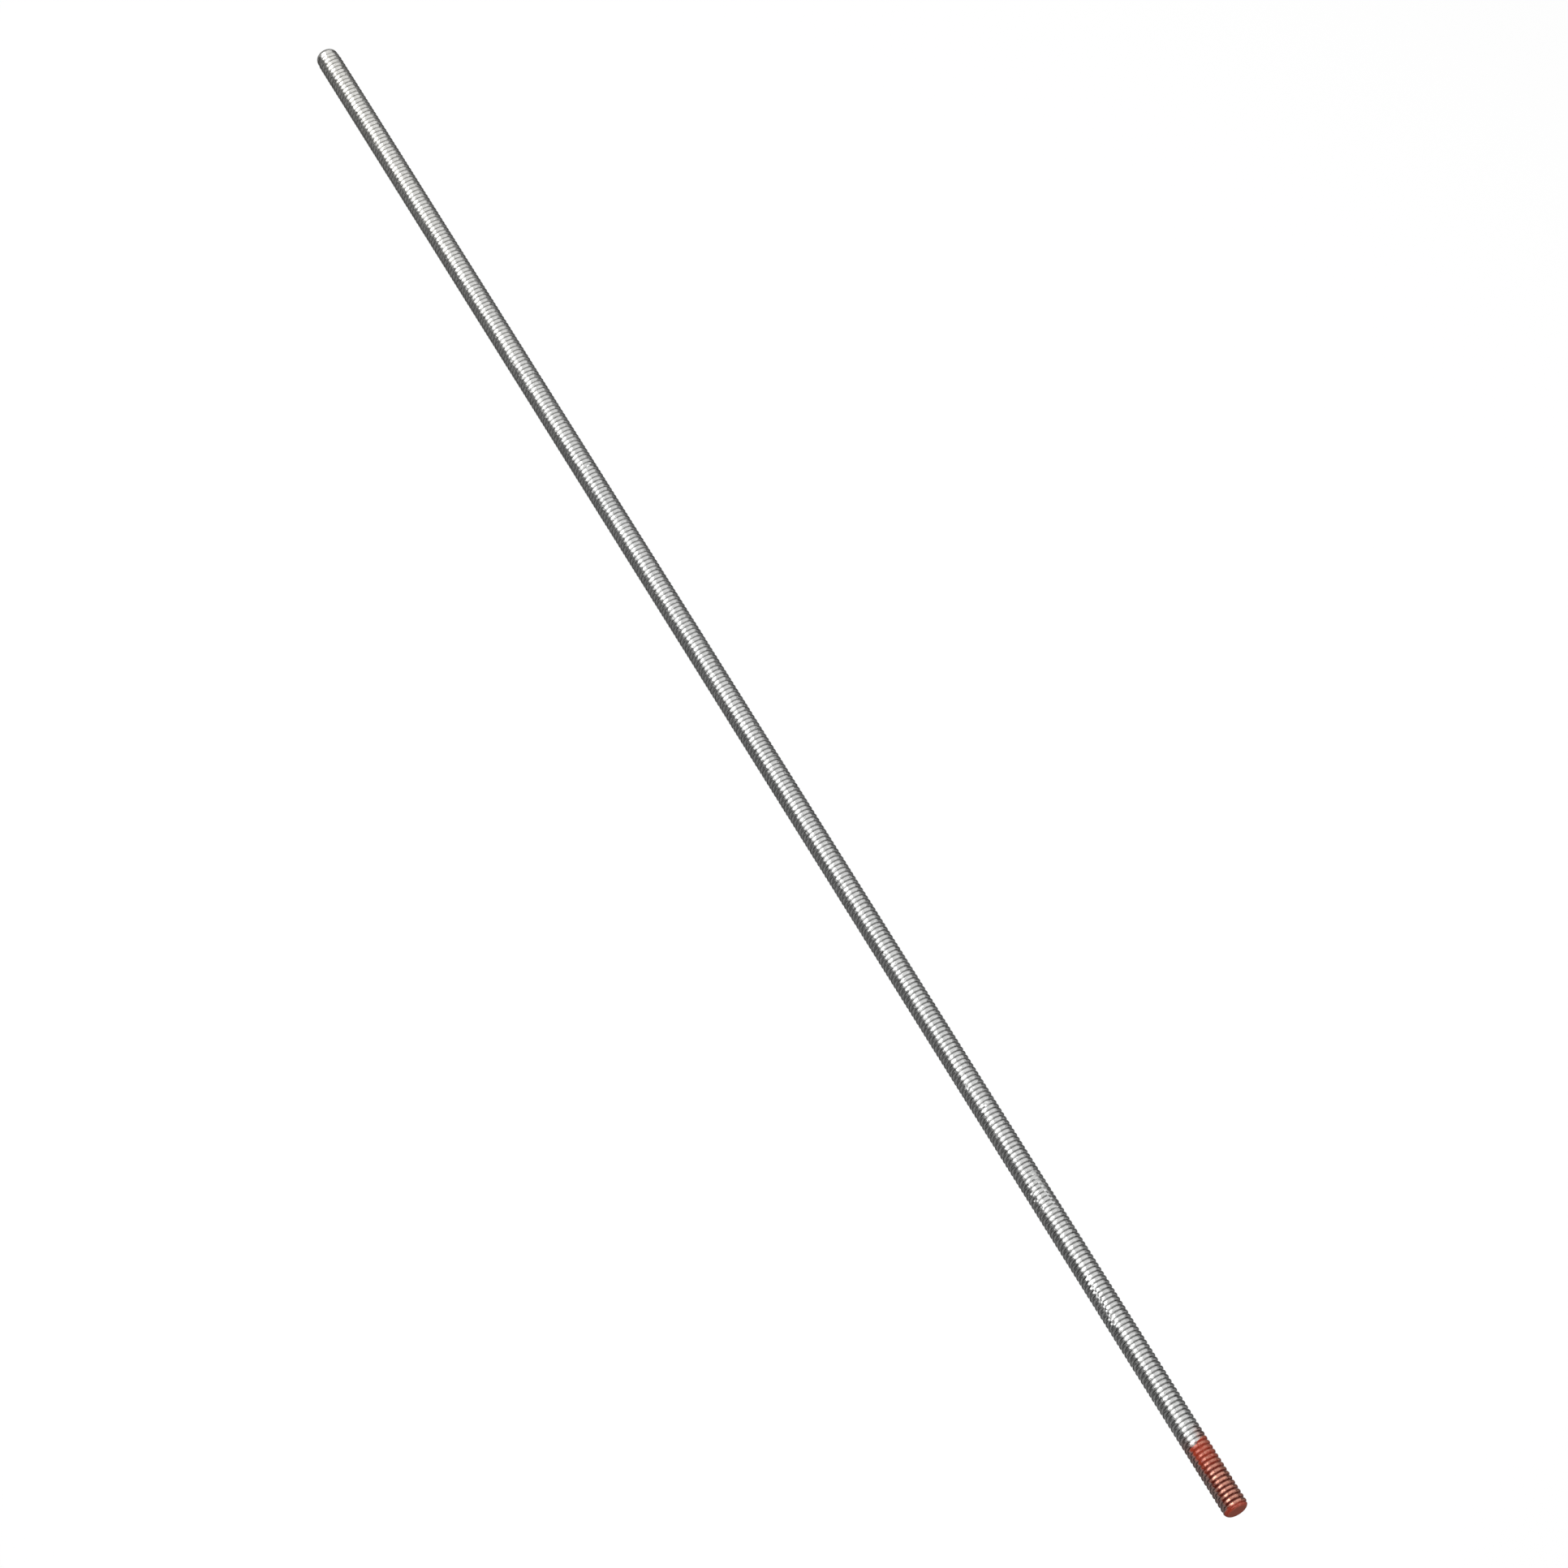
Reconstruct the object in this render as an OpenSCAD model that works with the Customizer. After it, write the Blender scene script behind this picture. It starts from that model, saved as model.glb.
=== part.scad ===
// Threaded rod: a right-hand thread from end to end, a chamfer at both ends, and one end painted.
// It lies along X with its middle at the origin, and its painted end points to +X.
// The solid is the rod over its crests. The fine turns of the thread are left off.

/* [Thread] */
// Diameter over the crests of the thread
crest_d = 4; // [3:0.05:12]
// Distance along the rod from one crest to the next
pitch = 0.79375; // [0.4:0.00625:1.25]

/* [Rod] */
// Length from end face to end face
rod_l = 304.8; // [25:0.1:1000]
// Angle of the end chamfers, measured from the end face
chamfer_angle = 45; // [30:1:60]

/* [Hidden] */
// Depth of a rolled 60-degree thread with rounded crests, from crest to root, as a share of the pitch
thread_depth_share = 0.5;
thread_depth = thread_depth_share * pitch;
root_d = crest_d - 2 * thread_depth;
// The chamfers run from the crests down to the roots, so that a nut starts cleanly
chamfer_l = thread_depth * tan(chamfer_angle);
// Turns of the thread that are painted
painted_turns = 15;
paint_l = painted_turns * pitch;
rod_fn = 96;

// Half outline of the rod, with its axis along Y and its crests at the right
module half_outline() {
    polygon([
        [0, -rod_l / 2],
        [root_d / 2, -rod_l / 2],
        [crest_d / 2, -rod_l / 2 + chamfer_l],
        [crest_d / 2, rod_l / 2 - chamfer_l],
        [root_d / 2, rod_l / 2],
        [0, rod_l / 2]
    ]);
}

// The rod turned about its axis and laid along X
module turned_rod() {
    rotate([0, 90, 0])
        rotate_extrude($fn = rod_fn)
            half_outline();
}

// The space round the painted end
module paint_zone() {
    translate([rod_l / 2 - paint_l, -crest_d, -crest_d])
        cube([2 * paint_l, 2 * crest_d, 2 * crest_d]);
}

// One solid in two colours: bare steel, and the painted end
module threaded_rod() {
    color("silver")
        difference() {
            turned_rod();
            paint_zone();
        }
    color("firebrick")
        intersection() {
            turned_rod();
            paint_zone();
        }
}

threaded_rod();
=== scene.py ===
import math

import bmesh
import bpy
from mathutils import Matrix, Vector, noise


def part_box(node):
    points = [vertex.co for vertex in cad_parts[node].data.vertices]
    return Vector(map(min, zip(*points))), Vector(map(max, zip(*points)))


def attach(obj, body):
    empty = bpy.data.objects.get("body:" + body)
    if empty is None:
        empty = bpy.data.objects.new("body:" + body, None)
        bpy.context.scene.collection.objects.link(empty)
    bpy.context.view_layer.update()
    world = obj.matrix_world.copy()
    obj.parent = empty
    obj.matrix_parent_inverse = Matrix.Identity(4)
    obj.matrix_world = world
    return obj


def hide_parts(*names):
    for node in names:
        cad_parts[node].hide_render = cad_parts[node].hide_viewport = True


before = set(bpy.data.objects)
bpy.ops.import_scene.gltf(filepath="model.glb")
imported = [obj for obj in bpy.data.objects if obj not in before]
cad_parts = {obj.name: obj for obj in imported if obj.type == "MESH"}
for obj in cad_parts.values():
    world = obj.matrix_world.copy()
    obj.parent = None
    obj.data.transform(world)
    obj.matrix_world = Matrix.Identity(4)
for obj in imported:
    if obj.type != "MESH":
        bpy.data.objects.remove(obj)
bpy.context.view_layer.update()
mm = 0.001
print("frame loaded:", sorted(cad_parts))


def linearColour(hexText):
    # sRGB hex to linear RGBA
    channels = [int(hexText[i:i + 2], 16) / 255 for i in (0, 2, 4)]
    linear = [c / 12.92 if c <= 0.04045 else ((c + 0.055) / 1.055) ** 2.4 for c in channels]
    return (*linear, 1.0)


def newMaterial(name):
    material = bpy.data.materials.new(name)
    material.use_nodes = True
    material.node_tree.nodes.clear()
    return material, material.node_tree


def addNode(tree, kind, settings, inputs):
    # one node: settings are its own options, inputs are plain values or sockets to link from
    node = tree.nodes.new(kind)
    for name, value in settings.items():
        setattr(node, name, value)
    for name, value in inputs.items():
        if isinstance(value, bpy.types.NodeSocket):
            tree.links.new(value, node.inputs[name])
        else:
            node.inputs[name].default_value = value
    return node


def calculate(tree, operation, *values, clamp=False):
    settings = {"operation": operation, "use_clamp": clamp}
    return addNode(tree, "ShaderNodeMath", settings, dict(enumerate(values))).outputs[0]


def mapRange(tree, value, start, end, low=0.0, high=1.0, smooth=False, clamp=True):
    # low where the value is at start, high where it is at end
    settings = {"interpolation_type": "SMOOTHSTEP" if smooth else "LINEAR", "clamp": clamp}
    return addNode(tree, "ShaderNodeMapRange", settings, {
        "Value": value,
        "From Min": start,
        "From Max": end,
        "To Min": low,
        "To Max": high,
    }).outputs[0]


def mixColour(tree, share, first, second):
    # share 0 gives the first colour and 1 the second; the colour sockets of a Mix node have these numbers
    firstInput, secondInput, result = 6, 7, 2
    inputs = {0: share, firstInput: first, secondInput: second}
    return addNode(tree, "ShaderNodeMix", {"data_type": "RGBA"}, inputs).outputs[result]


def mixValue(tree, share, first, second):
    # the same for plain values
    firstInput, secondInput, result = 2, 3, 0
    inputs = {0: share, firstInput: first, secondInput: second}
    return addNode(tree, "ShaderNodeMix", {"data_type": "FLOAT"}, inputs).outputs[result]


def cloudy(tree, place, size, detail=2.0):
    # noise with features of about that size
    inputs = {"Vector": place, "Scale": 1 / size, "Detail": detail}
    return addNode(tree, "ShaderNodeTexNoise", {}, inputs).outputs[0]


# Camera: above the rod, looking down it from the painted end
cameraView = {
    "azimuth": 62.13,  # degrees round from looking along +Y
    "elevation": 57.57,  # degrees above the horizon
    "distance": 873.9 * mm,
    "aim": (12.79 * mm, 0.28 * mm, 0.0),
    "sensor": 36,  # mm across
    "lens": 129.36,  # mm
    "nearest": 10 * mm,  # what lies nearer or farther isn't drawn
    "farthest": 20.0,
}


def towards(azimuth, elevation):
    # unit vector from the object to a viewer at that azimuth and elevation
    a, e = math.radians(azimuth), math.radians(elevation)
    return Vector((math.sin(a) * math.cos(e), -math.cos(a) * math.cos(e), math.sin(e)))


def photoCamera(view):
    data = bpy.data.cameras.new("photoCamera")
    data.sensor_width = view["sensor"]
    data.lens = view["lens"]
    data.clip_start = view["nearest"]
    data.clip_end = view["farthest"]
    camera = bpy.data.objects.new("photoCamera", data)
    bpy.context.scene.collection.objects.link(camera)
    back = towards(view["azimuth"], view["elevation"])
    camera.location = Vector(view["aim"]) + back * view["distance"]
    camera.rotation_euler = (-back).to_track_quat("-Z", "Y").to_euler()
    bpy.context.scene.camera = camera


photoCamera(cameraView)
print("camera placed")


# The rod: a rolled thread from end to end
_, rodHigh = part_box("threaded_rod")
threadPitch = 25.4 / 32 * mm  # 32 turns to the inch
rodSizes = {
    "halfLength": rodHigh.x,
    "crestRadius": rodHigh.z,
    "pitch": threadPitch,
    "depth": 0.44 * threadPitch,  # crest to root
    "flankAngle": 62,  # degrees that a flank rises from the axis
    "crestShare": 0.9,  # the crest's share of the two rounding radii; the root has the rest
    "crestSteps": 5,
    "rootSteps": 2,
    "turnSteps": 25,  # flats in one turn
    "tips": {1: (1.0 * mm, 0.75 * mm), -1: (1.7 * mm, 0.65 * mm)},  # length and depth of their rounding
    "startLength": 1.9 * mm,  # at the plain end the first turn is not fully formed
    "startShare": 1.7,  # above 1, so that the very end has no thread at all
    "blankShare": 0.35,  # how far the unformed end lies below the crests, as a share of the depth
    "waviness": 0.012 * mm,  # rolled crests are a little uneven
    "waveLength": 1.7 * mm,
    "endLength": 1.0 * mm,  # the faces are finer over this length at both ends
    "endCuts": 2,
    "cutGap": 1e-6 * mm,  # points this close to an end cut are on it
    "weldGap": 0.004 * mm,  # points of the turns that lie closer are joined
    "rimMerge": 0.03 * mm,  # and points of the rims that lie closer than this
    "rimSteps": ((0.03 * mm, 0.02 * mm), (0.05 * mm, 0.01 * mm)),  # width and rise of the rounded rim
    "dish": (0.5 * mm, -0.03 * mm),  # width and depth of the hollow that the cutter leaves
}

wear = {
    # from (mm from the painted end, degrees from the top towards -Y) to the same, half width and depth in mm
    "strokes": (
        ((61.2, -24), (54.8, -36), 0.50, 0.08),  # a long scuff that flattens the crests
        ((58.4, 55), (58.2, 57), 0.40, 0.14),  # three nicks beside it
        ((56.9, 44), (56.7, 46), 0.34, 0.12),
        ((55.2, 38), (55.0, 40), 0.34, 0.12),
        ((42.2, 31), (33.6, 46), 0.26, 0.11),  # a scratch across ten crests
        ((78.6, 38), (78.1, 42), 0.36, 0.10),  # single nicks
        ((74.6, 1), (74.2, 4), 0.34, 0.10),
        ((207.0, -15), (206.8, -13), 0.34, 0.12),
    ),
    "cuts": 2,  # the faces there are cut finer
    "patchSize": 0.3 * mm,
    "patchShare": 0.3,  # how much the strokes vary from patch to patch
    "flatness": 2.2,  # above 1: a stroke is flat in the middle and slopes only near its edge
}


def threadProfile(bm, rod):
    # one pitch of the thread in the XZ plane: crest arc, flank, root arc, flank, with no edge between them
    flank = math.radians(rod["flankAngle"])
    bothRounds = (rod["pitch"] / 2 * math.tan(flank) - rod["depth"]) / (1 / math.cos(flank) - 1)
    crestRound = bothRounds * rod["crestShare"]
    rootRound = bothRounds - crestRound
    crestCentre = Vector((0, 0, rod["crestRadius"] - crestRound))
    rootCentre = Vector((rod["pitch"] / 2, 0, rod["crestRadius"] - rod["depth"] + rootRound))
    start = bm.verts.new(crestCentre + Vector((-math.sin(flank), 0, math.cos(flank))) * crestRound)
    bmesh.ops.spin(bm, geom=[start], cent=crestCentre, axis=(0, 1, 0), angle=2 * flank,
                   steps=rod["crestSteps"])
    crestEnd = max(bm.verts, key=lambda v: v.co.x)
    rootStart = bmesh.ops.extrude_vert_indiv(bm, verts=[crestEnd])["verts"][0]
    rootStart.co = rootCentre + Vector((-math.sin(flank), 0, -math.cos(flank))) * rootRound
    bmesh.ops.spin(bm, geom=[rootStart], cent=rootCentre, axis=(0, 1, 0), angle=-2 * flank,
                   steps=rod["rootSteps"])
    rootEnd = max(bm.verts, key=lambda v: v.co.x)
    last = bmesh.ops.extrude_vert_indiv(bm, verts=[rootEnd])["verts"][0]
    last.co = start.co + Vector((rod["pitch"], 0, 0))
    return sorted((v.co.x, v.co.z) for v in bm.verts)


def sweepThread(bm, rod):
    # sweeps the profile that is in bm into a thread from end to end, cut off square
    bmesh.ops.spin(bm, geom=bm.verts[:] + bm.edges[:], cent=(0, 0, 0), axis=(1, 0, 0),
                   dvec=(rod["pitch"] / rod["turnSteps"], 0, 0), angle=2 * math.pi, steps=rod["turnSteps"])
    # one turn is copied on and on, twice as many each time, until the thread is longer than the rod
    turns = 1
    while (turns - 2) * rod["pitch"] < 2 * rod["halfLength"]:
        copy = bmesh.ops.duplicate(bm, geom=bm.verts[:] + bm.edges[:] + bm.faces[:])["geom"]
        copiedVerts = [part for part in copy if isinstance(part, bmesh.types.BMVert)]
        bmesh.ops.translate(bm, verts=copiedVerts, vec=(turns * rod["pitch"], 0, 0))
        turns *= 2
    bmesh.ops.translate(bm, verts=bm.verts, vec=(-rod["halfLength"] - rod["pitch"], 0, 0))
    bmesh.ops.remove_doubles(bm, verts=bm.verts, dist=rod["weldGap"])
    rimRise = sum(rise for _, rise in rod["rimSteps"])
    for side in (1, -1):
        bmesh.ops.bisect_plane(bm, geom=bm.verts[:] + bm.edges[:] + bm.faces[:], dist=rod["cutGap"],
                               plane_co=(side * (rod["halfLength"] - rimRise), 0, 0), plane_no=(side, 0, 0),
                               clear_outer=True)
    atEnds = [v for v in bm.verts if abs(v.co.x) > rod["halfLength"] - rod["endLength"]]
    bmesh.ops.remove_doubles(bm, verts=atEnds, dist=rod["weldGap"])
    print("thread swept:", len(bm.faces), "faces")


def turnOf(place):
    # angle from the top towards -Y
    return math.atan2(-place.y, place.z)


def profileRadius(profile, rod, place):
    # radius of the thread at that place along and round the rod
    start = profile[0][0]
    along = place.x + rod["halfLength"] - rod["pitch"] * turnOf(place) / (2 * math.pi) - start
    along = along % rod["pitch"] + start
    for (x0, r0), (x1, r1) in zip(profile, profile[1:]):
        if along <= x1:
            return r0 + (r1 - r0) * (along - x0) / (x1 - x0)
    return profile[-1][1]


def setRadius(vert, radius):
    old = math.hypot(vert.co.y, vert.co.z)
    vert.co.y *= radius / old
    vert.co.z *= radius / old


def strokeAmount(place, stroke, rod):
    # 1 in the middle of a stroke, 0 at its edge and beyond
    start, end, halfWidth, _ = stroke
    fromEnd = (rod["halfLength"] - place.x) / mm
    if not end[0] - halfWidth < fromEnd < start[0] + halfWidth:
        return 0
    onRod = [Vector((mark[0] * mm, math.radians(mark[1]) * rod["crestRadius"])) for mark in (start, end)]
    here = Vector((fromEnd * mm, turnOf(place) * rod["crestRadius"]))
    run = onRod[1] - onRod[0]
    share = min(max((here - onRod[0]).dot(run) / run.length_squared, 0), 1)
    distance = (here - onRod[0] - run * share).length
    return max(0, 1 - (distance / (halfWidth * mm)) ** 2)


def refineFaces(bm, faces, cuts, profile, rod):
    # finer faces, with the new points brought out to the round
    edges = list(dict.fromkeys(e for f in faces for e in f.edges))  # in order, so every run is the same
    made = bmesh.ops.subdivide_edges(bm, edges=edges, cuts=cuts, use_grid_fill=True)["geom_inner"]
    for vert in made:
        if isinstance(vert, bmesh.types.BMVert):
            setRadius(vert, profileRadius(profile, rod, vert.co))


def rolledRadius(place, rod):
    # the swept radius with an unformed first turn, uneven crests and rounded tips
    radius = math.hypot(place.y, place.z)
    fromStart = (place.x + rod["halfLength"]) / rod["startLength"]
    if fromStart < 1:
        blankRadius = rod["crestRadius"] - rod["depth"] * rod["blankShare"]
        radius += (blankRadius - radius) * min(1, rod["startShare"] * (1 - fromStart))
    radius -= rod["waviness"] * (0.5 + 0.5 * noise.noise(place / rod["waveLength"]))
    tipLength, tipDepth = rod["tips"][1 if place.x > 0 else -1]
    intoTip = max(0, 1 - (rod["halfLength"] - abs(place.x)) / tipLength)
    return min(radius, rod["crestRadius"] - tipDepth * (1 - math.sqrt(1 - intoTip ** 2)))


def shapeSkin(bm, rod, wear):
    # moves every point to its place on the finished rod, and notes how worn it is
    scuff = bm.verts.layers.float.new("scuff")
    for vert in bm.verts:
        radius = rolledRadius(vert.co, rod)
        for stroke in wear["strokes"]:
            amount = strokeAmount(vert.co, stroke, rod)
            if amount > 0:
                patch = noise.noise(vert.co / wear["patchSize"])
                amount *= 1 - wear["patchShare"] + wear["patchShare"] * patch
                # the metal of the crests is pushed down and smeared into the roots
                wornRadius = rod["crestRadius"] - stroke[3] * mm
                radius += (wornRadius - radius) * min(1, wear["flatness"] * amount)
                vert[scuff] = max(vert[scuff], amount)
        setRadius(vert, radius)


def endCap(bm, side, rod):
    # a flat face with a rounded rim and a slight hollow
    rim = [e for e in bm.edges if e.is_boundary and e.verts[0].co.x * side > 0]
    rimVerts = sorted({v for e in rim for v in e.verts}, key=lambda v: turnOf(v.co))  # for equal runs
    bmesh.ops.remove_doubles(bm, verts=rimVerts, dist=rod["rimMerge"])
    rim = [e for e in bm.edges if e.is_boundary and e.verts[0].co.x * side > 0]
    cap = bmesh.ops.contextual_create(bm, geom=rim)["faces"][0]
    cap.normal_update()
    if cap.normal.x * side < 0:
        cap.normal_flip()
    faces = []
    for width, rise in (*rod["rimSteps"], rod["dish"]):
        faces += bmesh.ops.inset_individual(bm, faces=[cap], thickness=width, depth=rise)["faces"]
    faces += bmesh.ops.poke(bm, faces=[cap])["faces"]
    return faces


# A map for the finished model: the rod's skin in rows one above the other, and the end faces above them
bakeMap = {
    "rows": 5,
    "rowStep": 0.186,
    "rowHeight": 0.17,
    "margin": 0.008,
    "capRadius": 0.028,
    "capHeight": 0.966,
    "capPlaces": {1: 0.05, -1: 0.15},
}


def bakeLayout(bm, rod, capFaces, layout):
    places = bm.loops.layers.uv.new("OFBake")
    rowLength = 2 * rod["halfLength"] / layout["rows"]
    capScale = layout["capRadius"] / (rod["crestRadius"] - rod["depth"] / 2)
    for face in bm.faces:
        centre = face.calc_center_median()
        side = 1 if centre.x > 0 else -1
        row = int((centre.x + rod["halfLength"]) / rowLength)
        rowStart = layout["margin"] + layout["rowStep"] * row
        faceTurn = turnOf(centre)
        for loop in face.loops:
            spot = loop.vert.co
            if face in capFaces:
                u = layout["capPlaces"][side] + spot.y * capScale
                v = layout["capHeight"] + spot.z * capScale
            else:
                # points are turned from the face's own middle, so no face wraps round the rod
                turn = faceTurn + (turnOf(spot) - faceTurn + math.pi) % (2 * math.pi) - math.pi
                along = (spot.x + rod["halfLength"]) / rowLength - row
                u = layout["margin"] + (1 - 2 * layout["margin"]) * along
                v = rowStart + layout["rowHeight"] * (turn / (2 * math.pi) + 0.5)
            loop[places].uv = (u, v)


def threadedRod(rod, wear, layout):
    bm = bmesh.new()
    profile = threadProfile(bm, rod)
    sweepThread(bm, rod)
    # finer faces where the tips and the wear need them
    centres = [(f, f.calc_center_median()) for f in bm.faces]
    ends = [f for f, centre in centres if abs(centre.x) > rod["halfLength"] - rod["endLength"]]
    refineFaces(bm, ends, rod["endCuts"], profile, rod)
    worn = [f for f, centre in centres if any(strokeAmount(centre, s, rod) > 0 for s in wear["strokes"])]
    refineFaces(bm, worn, wear["cuts"], profile, rod)
    shapeSkin(bm, rod, wear)
    capFaces = {f for side in (1, -1) for f in endCap(bm, side, rod)}
    bmesh.ops.recalc_face_normals(bm, faces=bm.faces)
    bakeLayout(bm, rod, capFaces, layout)

    mesh = bpy.data.meshes.new("threadedRod")
    bm.to_mesh(mesh)
    bm.free()
    mesh.shade_smooth()
    piece = bpy.data.objects.new("threadedRod", mesh)
    bpy.context.scene.collection.objects.link(piece)
    # the broad flanks lead the shading, so that they stay flat beside the round crests
    piece.modifiers.new("flatFlanks", "WEIGHTED_NORMAL")
    return piece


rodPiece = threadedRod(rodSizes, wear, bakeMap)
print("rod modelled:", len(rodPiece.data.polygons), "faces")


steelLook = {
    "bright": "d8d8d7",
    "dull": "c7c8c7",
    "patchSize": 5 * mm,
    "warm": "d9d8d4",  # a faint straw tint towards the plain end
    "warmStart": 0.3,  # share of the half length, from the middle, where that tint begins
    "paintedRootShade": "2f2e2c",  # painted shade in the roots of the thread
    "rootShadeHeight": 0.12 * mm,
    "rootShadeShare": 0.7,
    "stain": "b8705a",  # brown beside the paint
    "stainShare": 0.8,
    "stainReach": 3.0 * mm,  # past the paint's edge
    "stainOverlap": 0.5 * mm,  # and within it
    "stainMiddle": (0.55, 0.95),  # on the painted side; this and the next are cosines from its middle
    "stainBack": (0.1, -0.3),  # and on the bare side
    "stainBackShare": 0.65,
    "streakWidth": 0.06 * mm,  # rolling marks are about ten times finer; drawn this coarse to show
    "streakLength": 2.5 * mm,
    "streakRange": (0.3, 0.7),  # most of the streaks' values lie between these
    "roughness": (0.25, 0.37),
    "scuffRoughness": 0.15,  # worn metal is this much rougher
    "cutRoughness": 0.45,  # and the sawn end this much
    "cutFace": (0.16 * mm, 0.08 * mm),  # from the end; the sawn face begins between these
    "dentSize": 0.7 * mm,  # the rolled metal is uneven, which breaks up the reflections
    "dentDepth": 0.08 * mm,
}
paintLook = {
    "thin": "df9e8a",  # the metal seen through a thin film, on the crests
    "thick": "973824",
    "old": "591d12",  # the same, older and dirtier, near the end; in the roots this dark colour is partly painted shade
    "end": "88402f",  # dull on the cut face
    "length": 11.3 * mm,
    "longer": 0.9 * mm,  # further along the side that was brushed first
    "ragged": 0.5 * mm,
    "edgeFade": 0.05 * mm,
    "side": -55,  # middle of the painted side, degrees from the top towards -Y
    "halfWidth": 110,  # degrees
    "sideRagged": 0.4,  # this and the next are cosines from the middle of the painted side
    "sideFade": 0.12,
    "rim": 0.8 * mm,  # round the end it covers this much of every side
    "face": (0.07 * mm, 0.04 * mm),  # from the end; the cut face begins between these
    "grainSize": 0.3 * mm,
    "grainDetail": 3.0,
    "blotchSize": 1.3 * mm,
    "fresh": (5.0 * mm, 10.0 * mm),  # from the end; less worn beyond these
    "crestFilm": (0.15, 0.68),  # share of thick paint on the crests, worn and fresh
    "filmDepth": 0.2 * mm,  # below the crests the film is thick
    "thickShadedSide": (0.25, -0.1),  # cosines again; the film is thicker towards its border there, and this darker film is also painted shade on that side
    "thickShadedSideShare": 0.6,
    "speckle": (-0.4, 1.4),  # the grain is spread this far, so that it shows as specks
    "unevenness": 0.8,
    "metallic": 0.05,
    "roughness": (0.15, 0.33),
    "faceRoughness": 0.45,  # the cut face is this much rougher
    "specular": 0.45,
}
skinRelief = {"strength": 0.15, "depth": 0.01 * mm}  # of the rolling marks and of the brushed film


def skinPatterns(tree, rod, steel, paint):
    # places on the rod, and the patterns that its looks share
    at = {}
    at["place"] = addNode(tree, "ShaderNodeTexCoord", {}, {}).outputs["Object"]
    axes = addNode(tree, "ShaderNodeSeparateXYZ", {}, {"Vector": at["place"]}).outputs
    at["along"] = axes["X"]
    at["fromEnd"] = calculate(tree, "SUBTRACT", rod["halfLength"], axes["X"])
    spoke = addNode(tree, "ShaderNodeCombineXYZ", {}, {"Y": axes["Y"], "Z": axes["Z"]}).outputs[0]
    at["radius"] = addNode(tree, "ShaderNodeVectorMath", {"operation": "LENGTH"}, {0: spoke}).outputs["Value"]
    outward = addNode(tree, "ShaderNodeVectorMath", {"operation": "NORMALIZE"}, {0: spoke}).outputs[0]
    sideAngle = math.radians(paint["side"])
    sideways = {0: outward, 1: (0, -math.sin(sideAngle), math.cos(sideAngle))}
    facing = addNode(tree, "ShaderNodeVectorMath", {"operation": "DOT_PRODUCT"}, sideways)
    at["facing"] = facing.outputs["Value"]
    at["scuff"] = addNode(tree, "ShaderNodeAttribute", {"attribute_name": "scuff"}, {}).outputs["Fac"]
    at["patches"] = cloudy(tree, at["place"], steel["patchSize"])
    streakScale = (1 / steel["streakWidth"], 1 / steel["streakLength"], 1 / steel["streakLength"])
    streakInputs = {"Vector": at["place"], "Scale": streakScale}
    streakSpace = addNode(tree, "ShaderNodeMapping", {}, streakInputs).outputs[0]
    at["streaks"] = cloudy(tree, streakSpace, 1.0)  # its space is already scaled
    at["grain"] = cloudy(tree, at["place"], paint["grainSize"], paint["grainDetail"])
    rootRadius = rod["crestRadius"] - rod["depth"]
    at["inRoots"] = mapRange(tree, at["radius"], rootRadius + steel["rootShadeHeight"], rootRadius, smooth=True)
    faceStart, faceEnd = (distance - rod["halfLength"] for distance in steel["cutFace"])
    at["onCut"] = mapRange(tree, at["along"], faceStart, faceEnd)
    return at


def paintPlaces(tree, paint, at):
    # adds where the paint lies: one side of the last turns, the rim all round and the whole end face
    facingTwice = calculate(tree, "POWER", at["facing"], 2.0)
    shortest = paint["length"] - paint["ragged"] / 2
    evenLine = calculate(tree, "MULTIPLY_ADD", facingTwice, paint["longer"], shortest)
    paintLine = calculate(tree, "MULTIPLY_ADD", at["grain"], paint["ragged"], evenLine)
    at["inside"] = calculate(tree, "SUBTRACT", paintLine, at["fromEnd"])
    along = mapRange(tree, at["inside"], -paint["edgeFade"], paint["edgeFade"])
    raggedFacing = calculate(tree, "MULTIPLY_ADD", at["grain"], paint["sideRagged"], at["facing"])
    sideEdge = math.cos(math.radians(paint["halfWidth"])) + paint["sideRagged"] / 2
    around = mapRange(tree, raggedFacing, sideEdge - paint["sideFade"], sideEdge + paint["sideFade"])
    onSide = calculate(tree, "MULTIPLY", along, around)
    at["onFace"] = mapRange(tree, at["fromEnd"], *paint["face"])
    at["onRim"] = mapRange(tree, at["fromEnd"], paint["rim"], paint["rim"] / 2, smooth=True)
    at["painted"] = calculate(tree, "MAXIMUM", onSide, at["onRim"])


def steelColour(tree, rod, steel, at):
    # patchy grey, straw towards the plain end, brown beside the paint, and painted shade in the roots
    patchy = mixColour(tree, at["patches"], linearColour(steel["bright"]), linearColour(steel["dull"]))
    warmStart = -steel["warmStart"] * rod["halfLength"]
    towardsPlainEnd = mapRange(tree, at["along"], warmStart, -rod["halfLength"])
    tinted = mixColour(tree, towardsPlainEnd, patchy, linearColour(steel["warm"]))
    nearPaint = mapRange(tree, at["inside"], -steel["stainReach"], steel["stainOverlap"],
                         high=steel["stainShare"], smooth=True)
    onMiddle = mapRange(tree, at["facing"], *steel["stainMiddle"])
    onBack = mapRange(tree, at["facing"], *steel["stainBack"], high=steel["stainBackShare"])
    stainSides = calculate(tree, "MAXIMUM", onMiddle, onBack)
    stain = calculate(tree, "MULTIPLY", nearPaint, stainSides)
    stained = mixColour(tree, stain, tinted, linearColour(steel["stain"]))
    # painted shade: the roots of the thread are darkened in the colour
    inRootsOnly = calculate(tree, "SUBTRACT", at["inRoots"], at["onCut"], clamp=True)
    paintedRootShade = mapRange(tree, inRootsOnly, 0.0, 1.0, high=steel["rootShadeShare"])
    return mixColour(tree, paintedRootShade, stained, linearColour(steel["paintedRootShade"]))


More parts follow.
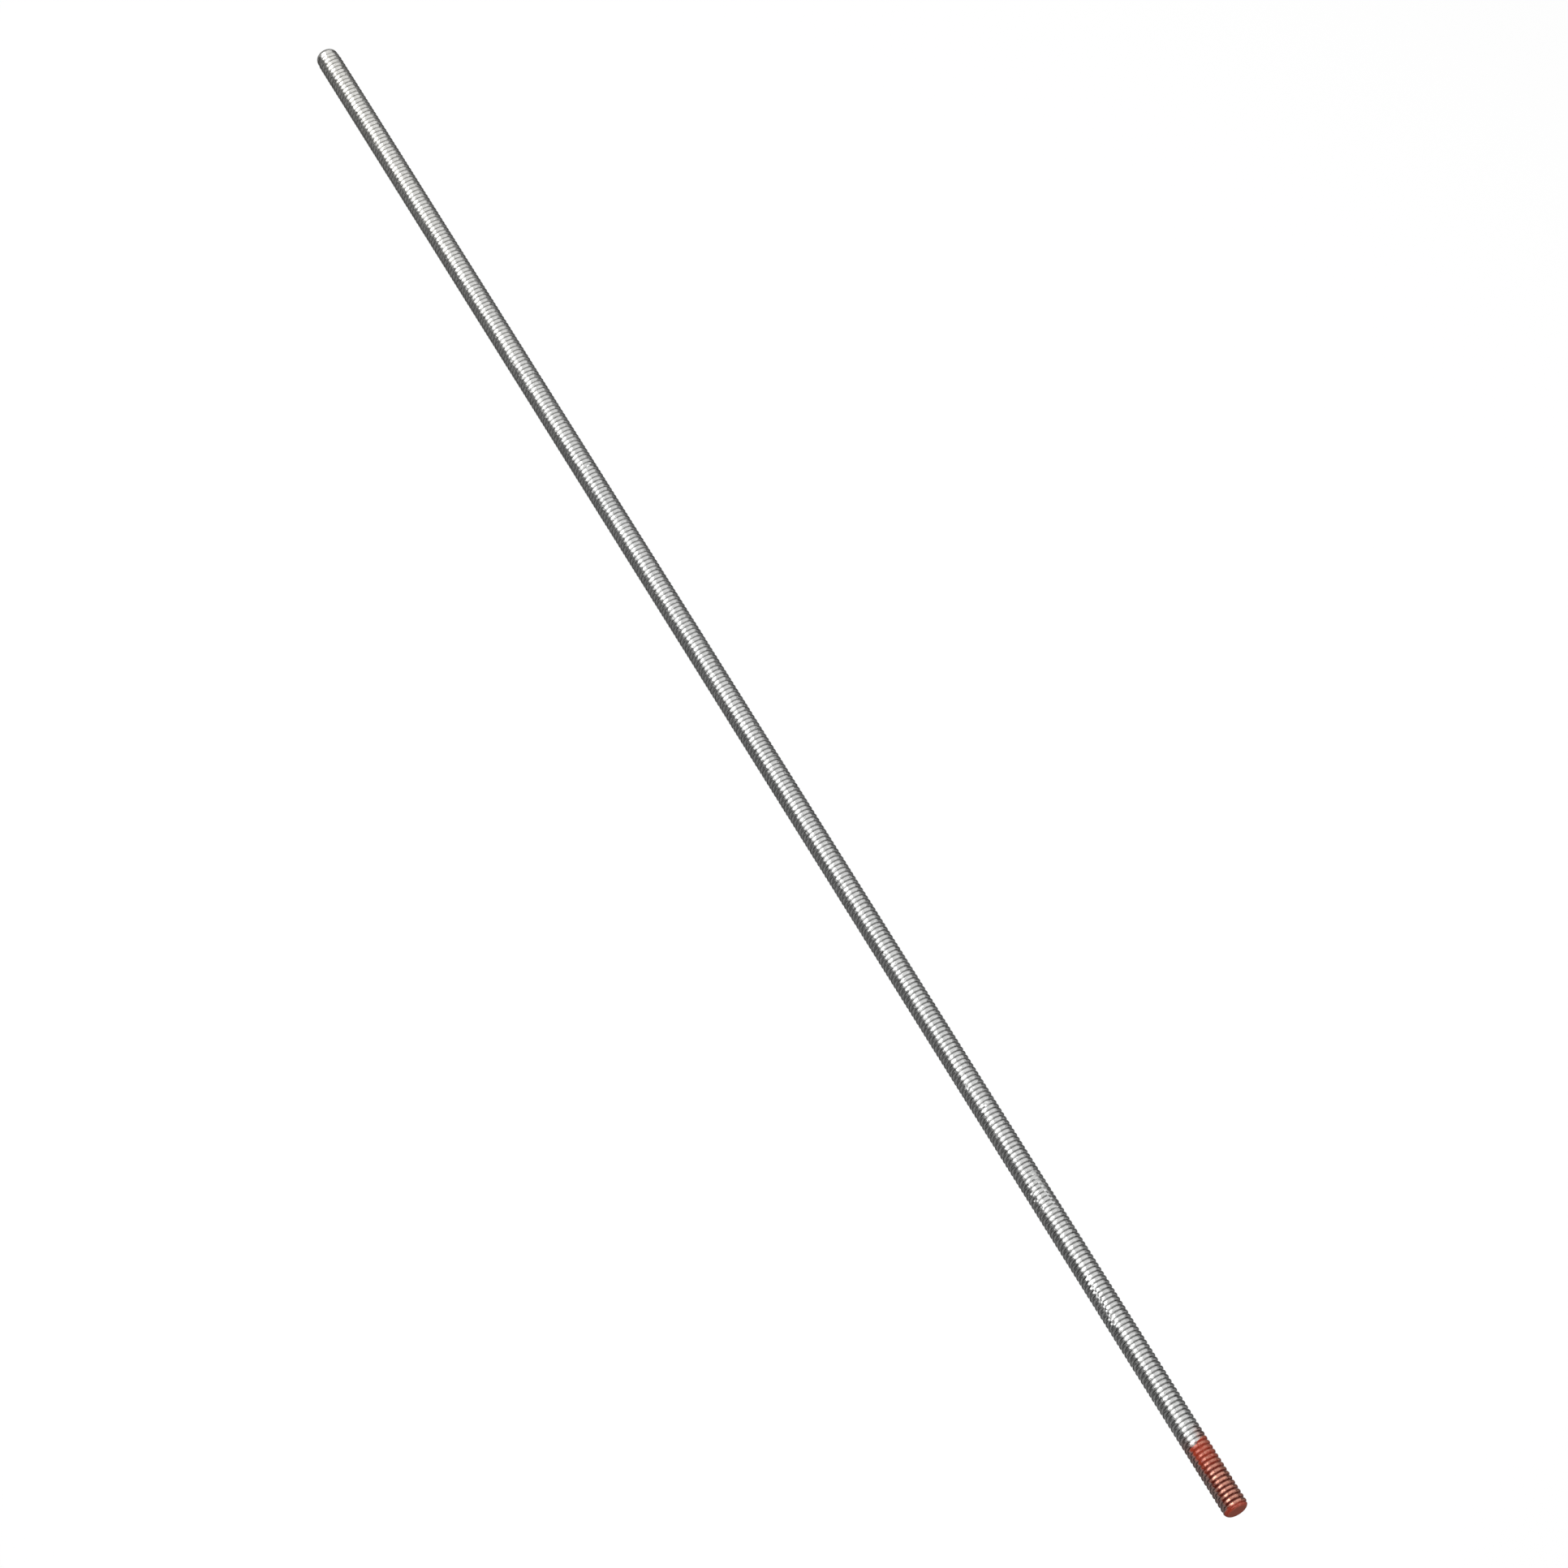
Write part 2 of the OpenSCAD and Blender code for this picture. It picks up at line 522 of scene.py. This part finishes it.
def paintFilm(tree, rod, paint, at):
    # worn thin on the crests near the end, thicker towards its upper edge and in the roots, where the dark
    # colour of the thick film is partly painted shade
    towardsEdge = mapRange(tree, at["fromEnd"], *paint["fresh"], smooth=True)
    freshness = calculate(tree, "MAXIMUM", towardsEdge, at["onRim"])
    crestFilm = mapRange(tree, freshness, 0.0, 1.0, *paint["crestFilm"])
    filmFloor = rod["crestRadius"] - paint["filmDepth"]
    evenFilm = mapRange(tree, at["radius"], rod["crestRadius"], filmFloor, low=crestFilm, smooth=True)
    # painted shade: thicker, darker film on that side of the paint, with fewer glints
    shadedSideFilm = mapRange(tree, at["facing"], *paint["thickShadedSide"], high=paint["thickShadedSideShare"], smooth=True)
    speckle = mapRange(tree, at["grain"], 0.0, 1.0, *paint["speckle"], clamp=False)
    edgeGrain = calculate(tree, "ADD", speckle, shadedSideFilm)
    blotches = cloudy(tree, at["place"], paint["blotchSize"])
    filmNoise = calculate(tree, "ADD", edgeGrain, blotches)
    thinnest = calculate(tree, "SUBTRACT", evenFilm, paint["unevenness"])
    uneven = calculate(tree, "MULTIPLY_ADD", filmNoise, paint["unevenness"], thinnest, clamp=True)
    film = calculate(tree, "MAXIMUM", uneven, at["onFace"])
    # partly painted shade: the dark old colour fills the roots near the end
    body = mixColour(tree, freshness, linearColour(paint["old"]), linearColour(paint["thick"]))
    bodyAndFace = mixColour(tree, at["onFace"], body, linearColour(paint["end"]))
    return film, mixColour(tree, film, linearColour(paint["thin"]), bodyAndFace)


def skinRoughness(tree, steel, paint, at):
    rolled = mapRange(tree, at["streaks"], *steel["streakRange"], *steel["roughness"])
    scuffed = calculate(tree, "MULTIPLY_ADD", at["scuff"], steel["scuffRoughness"], rolled)
    bare = calculate(tree, "MULTIPLY_ADD", at["onCut"], steel["cutRoughness"], scuffed)
    glossy = mapRange(tree, at["grain"], 0.0, 1.0, *paint["roughness"])
    coated = calculate(tree, "MULTIPLY_ADD", at["onFace"], paint["faceRoughness"], glossy)
    return mixValue(tree, at["painted"], bare, coated)


def paintedSteel(rod, steel, paint, relief):
    # Stainless steel with a rolled thread: burnished crests mirror the lights in soft bands, and the roots
    # are darkened with painted shade.
    # Red enamel, brushed on one end, is a thin glossy film that still shows every turn.
    material, tree = newMaterial("rolledStainlessSteelBrushedEnamel")
    at = skinPatterns(tree, rod, steel, paint)
    paintPlaces(tree, paint, at)
    film, paintColour = paintFilm(tree, rod, paint, at)
    covered = calculate(tree, "MULTIPLY", at["painted"], film)
    height = mixValue(tree, at["painted"], at["streaks"], at["grain"])
    fineBump = addNode(tree, "ShaderNodeBump", {}, {
        "Height": height,
        "Strength": relief["strength"],
        "Distance": relief["depth"],
    }).outputs[0]
    bump = addNode(tree, "ShaderNodeBump", {}, {
        "Height": cloudy(tree, at["place"], steel["dentSize"]),
        "Strength": 1.0,
        "Distance": steel["dentDepth"],
        "Normal": fineBump,
    }).outputs[0]
    shader = addNode(tree, "ShaderNodeBsdfPrincipled", {}, {
        "Base Color": mixColour(tree, at["painted"], steelColour(tree, rod, steel, at), paintColour),
        "Metallic": mapRange(tree, covered, 0.0, 1.0, 1.0, paint["metallic"]),
        "Roughness": skinRoughness(tree, steel, paint, at),
        "Specular IOR Level": paint["specular"],
        "Normal": bump,
    })
    addNode(tree, "ShaderNodeOutputMaterial", {}, {"Surface": shader.outputs["BSDF"]})
    return material


rodPiece.data.materials.append(paintedSteel(rodSizes, steelLook, paintLook, skinRelief))
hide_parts("threaded_rod")
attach(rodPiece, "root")
print("rod finished")


# Studio: a white floor, two soft boxes along the rod and a lit panel ahead of it. A dark tent round them,
# which the camera doesn't see, gives the metal its dark edges; below, it is open under the rod and pale at
# its ends. Sizes are in metres.
studio = {
    "drop": 450 * mm,  # from the rod down to the floor, so no shadow touches it
    "floorRadius": 8.0,
    "floorSides": 64,
    "paper": "ffffff",
    "haze": "f6f6f6",  # beyond the floor
    "room": "404040",
    "ownShare": 0.92,  # share of the floor's white that doesn't depend on the lamps
    "key": {"angle": 29.5, "distance": 1.2, "from": -2.1, "to": 2.5, "width": 0.84, "radiance": 3.1},
    "fill": {"angle": -33.5, "distance": 1.5, "from": -2.35, "to": 1.66, "width": 2.0, "radiance": 0.87},
    "frontPanel": {"distance": 1.58, "left": 0.0, "right": 2.0, "low": -0.3, "high": 1.42, "radiance": 1.0},
    "tent": {
        "cloth": "404040",
        "ends": "959595",
        "halfSize": 5.0,
        "lift": 1 * mm,  # of its lower side above the floor
        "gapRadius": 0.2,  # the gap is round the middle of the view
        "gapFade": 0.22,
        "frontStart": 0.1,  # the pale front begins this far ahead of the rod's middle
        "frontFade": 0.4,
        "backStart": 0.0,  # the pale back is a wedge that begins this far behind it
        "backFade": 0.3,
    },
}


def softBox(name, centre, along, across, size, radiance):
    # a lamp with the sides along and across, which shines evenly away from their cross product
    data = bpy.data.lights.new(name, "AREA")
    data.shape = "RECTANGLE"
    data.size, data.size_y = size
    data.energy = radiance * math.pi * size[0] * size[1]
    lamp = bpy.data.objects.new(name, data)
    bpy.context.scene.collection.objects.link(lamp)
    lamp.location = centre
    lamp.rotation_euler = Matrix((along, across, along.cross(across))).transposed().to_euler()
    lamp.visible_camera = False


def overheadBox(name, box):
    # over the rod and along it; angle: degrees from straight up towards -Y
    tilt = math.radians(box["angle"])
    out = Vector((0, -math.sin(tilt), math.cos(tilt)))
    along = Vector((1, 0, 0))
    middle = (box["from"] + box["to"]) / 2
    size = (box["to"] - box["from"], box["width"])
    softBox(name, along * middle + out * box["distance"], along, out.cross(along), size, box["radiance"])


def frontPanel(name, panel):
    # upright, ahead of the painted end
    sideways = (panel["left"] + panel["right"]) / 2
    height = (panel["low"] + panel["high"]) / 2
    size = (panel["right"] - panel["left"], panel["high"] - panel["low"])
    centre = Vector((panel["distance"], sideways, height))
    softBox(name, centre, Vector((0, 1, 0)), Vector((0, 0, 1)), size, panel["radiance"])


def directRays(tree):
    # 1 for rays from the camera, straight on or by way of glossy or clear things
    rays = addNode(tree, "ShaderNodeLightPath", {}, {}).outputs
    mirrored = calculate(tree, "MAXIMUM", rays["Is Glossy Ray"], rays["Is Transmission Ray"])
    return calculate(tree, "MAXIMUM", rays["Is Camera Ray"], mirrored)


def stagePiece(name, bm, material):
    mesh = bpy.data.meshes.new(name)
    bm.to_mesh(mesh)
    bm.free()
    material.cycles.emission_sampling = "NONE"  # it is no lamp, and renders stay short
    mesh.materials.append(material)
    piece = bpy.data.objects.new(name, mesh)
    bpy.context.scene.collection.objects.link(piece)
    return piece


def mattePaper(setup):
    # Matte white paper: even, with the soft shadow of what is over it
    material, tree = newMaterial("mattePaper")
    white = linearColour(setup["paper"])
    matte = addNode(tree, "ShaderNodeBsdfDiffuse", {}, {"Color": white}).outputs[0]
    even = addNode(tree, "ShaderNodeEmission", {}, {"Color": white, "Strength": 1.0}).outputs[0]
    share = calculate(tree, "MULTIPLY", directRays(tree), setup["ownShare"])
    surface = addNode(tree, "ShaderNodeMixShader", {}, {0: share, 1: matte, 2: even}).outputs[0]
    addNode(tree, "ShaderNodeOutputMaterial", {}, {"Surface": surface})
    return material


def paperFloor(setup):
    bm = bmesh.new()
    bmesh.ops.create_circle(bm, cap_ends=True, segments=setup["floorSides"], radius=setup["floorRadius"])
    bmesh.ops.translate(bm, verts=bm.verts, vec=(0, 0, -setup["drop"]))
    stagePiece("paperFloor", bm, mattePaper(setup))


def tentCloth(view, setup):
    # Dark cloth: an even grey, with a soft-edged gap below and paler ends
    material, tree = newMaterial("tentCloth")
    tent = setup["tent"]
    place = addNode(tree, "ShaderNodeTexCoord", {}, {}).outputs["Object"]
    axes = addNode(tree, "ShaderNodeSeparateXYZ", {}, {"Vector": place}).outputs
    # the gap, where the middle of the view meets the floor
    back = towards(view["azimuth"], view["elevation"])
    middle = Vector(view["aim"]) - back * (setup["drop"] / back.z)
    away = addNode(tree, "ShaderNodeVectorMath", {"operation": "DISTANCE"}, {0: place, 1: middle})
    gapEdge = tent["gapRadius"] + tent["gapFade"]
    outsideGap = mapRange(tree, away.outputs["Value"], tent["gapRadius"], gapEdge, smooth=True)
    # the pale front, on the lower side only, and the pale wedge at the back
    frontEdge = tent["frontStart"] + tent["frontFade"]
    front = mapRange(tree, axes["X"], tent["frontStart"], frontEdge, smooth=True)
    below = calculate(tree, "LESS_THAN", axes["Z"], -setup["drop"] + 2 * tent["lift"])
    frontBelow = calculate(tree, "MULTIPLY", front, below)
    sideways = calculate(tree, "ABSOLUTE", axes["Y"])
    wedge = calculate(tree, "ADD", axes["X"], sideways)
    backEdge = tent["backStart"] + tent["backFade"]
    behind = mapRange(tree, wedge, -tent["backStart"], -backEdge, smooth=True)
    ends = calculate(tree, "MAXIMUM", frontBelow, behind)
    colour = mixColour(tree, ends, linearColour(tent["cloth"]), linearColour(tent["ends"]))
    even = addNode(tree, "ShaderNodeEmission", {}, {"Color": colour, "Strength": 1.0}).outputs[0]
    gap = addNode(tree, "ShaderNodeBsdfTransparent", {}, {}).outputs[0]
    surface = addNode(tree, "ShaderNodeMixShader", {}, {0: outsideGap, 1: gap, 2: even}).outputs[0]
    addNode(tree, "ShaderNodeOutputMaterial", {}, {"Surface": surface})
    return material


def darkTent(view, setup):
    tent = setup["tent"]
    bm = bmesh.new()
    bmesh.ops.create_cube(bm, size=2 * tent["halfSize"])
    rise = tent["halfSize"] - setup["drop"] + tent["lift"]
    bmesh.ops.translate(bm, verts=bm.verts, vec=(0, 0, rise))
    piece = stagePiece("darkTent", bm, tentCloth(view, setup))
    piece.visible_camera = False
    piece.visible_shadow = False


def paleRoom(setup):
    world = bpy.data.worlds.new("paleRoom")
    world.use_nodes = True
    tree = world.node_tree
    colour = mixColour(tree, directRays(tree), linearColour(setup["room"]), linearColour(setup["haze"]))
    tree.links.new(colour, tree.nodes["Background"].inputs["Color"])
    bpy.context.scene.world = world


paperFloor(studio)
overheadBox("keyBox", studio["key"])
overheadBox("fillBox", studio["fill"])
frontPanel("frontPanel", studio["frontPanel"])
darkTent(cameraView, studio)
paleRoom(studio)
bpy.context.scene.view_settings.view_transform = "Standard"
print("studio lit")
